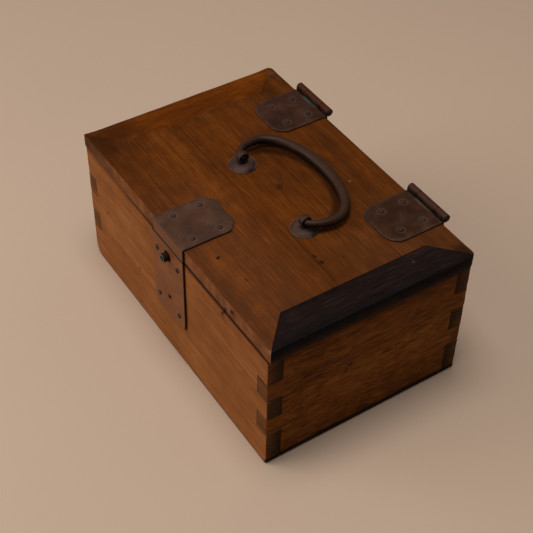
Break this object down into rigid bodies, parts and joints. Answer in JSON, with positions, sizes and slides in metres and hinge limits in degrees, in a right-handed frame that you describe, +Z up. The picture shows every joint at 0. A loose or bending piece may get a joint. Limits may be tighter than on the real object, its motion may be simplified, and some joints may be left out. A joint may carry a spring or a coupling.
{
  "type": "seal stamp box",
  "caption": "Small finger-jointed wooden box with a hinged, mitre-capped lid, a swinging bail handle on top and a push-button catch, for keeping seals and stamps.",
  "frame": {"origin": "under the middle of the bottom board, on the surface that it stands on", "axes": "+X along the length to the right end, +Y from the front to the hinges, +Z up"},
  "size_m": [0.2424, 0.1698, 0.124],
  "materials": {
    "front_wood": "worn oil, satin",
    "end_wood": "dark oil, satin",
    "lid_wood": "dark oil, satin",
    "dark_wood": "blackened, satin",
    "lock_copper": "dull copper",
    "plate_copper": "patinated copper",
    "hinge_copper": "dark patinated copper",
    "spring_steel": "spring steel",
    "iron": "dark oiled iron"
  },
  "bodies": {
    "box": {"bottom_board": "dark_wood", "front_wall": "front_wood", "back_wall": "front_wood", "left_wall": "end_wood", "right_wall": "end_wood", "left_back_hinge_leaf": "hinge_copper", "right_back_hinge_leaf": "hinge_copper", "left_hinge_pin": "iron", "right_hinge_pin": "iron", "lock_plate": "lock_copper", "latch_spring": "spring_steel", "spring_rivet": "iron", "left_back_leaf_nail_1": "iron", "left_back_leaf_nail_2": "iron", "left_back_leaf_nail_3": "iron", "left_back_leaf_nail_4": "iron", "right_back_leaf_nail_1": "iron", "right_back_leaf_nail_2": "iron", "right_back_leaf_nail_3": "iron", "right_back_leaf_nail_4": "iron", "lock_plate_nail_1": "iron", "lock_plate_nail_2": "iron", "lock_plate_nail_3": "iron", "lock_plate_nail_4": "iron"},
    "lid": {"lid_panel": "lid_wood", "lid_left_cap": "lid_wood", "lid_right_cap": "dark_wood", "left_lid_hinge_leaf": "hinge_copper", "right_lid_hinge_leaf": "hinge_copper", "lid_plate": "plate_copper", "lid_strike": "spring_steel", "left_handle_eye": "iron", "right_handle_eye": "iron", "left_handle_rose": "iron", "right_handle_rose": "iron", "left_lid_leaf_nail_1": "iron", "left_lid_leaf_nail_2": "iron", "left_lid_leaf_nail_3": "iron", "left_lid_leaf_nail_4": "iron", "right_lid_leaf_nail_1": "iron", "right_lid_leaf_nail_2": "iron", "right_lid_leaf_nail_3": "iron", "right_lid_leaf_nail_4": "iron", "lid_plate_nail_1": "iron", "lid_plate_nail_2": "iron", "lid_plate_nail_3": "iron", "lid_plate_nail_4": "iron", "strike_nail_1": "iron", "strike_nail_2": "iron"},
    "bail": {"handle": "iron"},
    "button": {"push_button": "iron"}
  },
  "joints": [
    {"name": "lid_hinge", "type": "hinge", "parent": "box", "child": "lid", "pos_m": [0, 0.0819, 0.1159], "axis": [-1, 0, 0], "range_deg": [0, 224]},
    {"name": "handle_swing", "type": "hinge", "parent": "lid", "child": "bail", "pos_m": [0.005, -0.001, 0.1199], "axis": [1, 0, 0], "range_deg": [0, 184]},
    {"name": "button_press", "type": "slide", "parent": "box", "child": "button", "axis": [0, 1, 0], "range_m": [0, 0.002], "stiffness_N_per_m": 1200, "springref_m": -0.0005, "deforming": ["latch_spring"]}
  ]
}
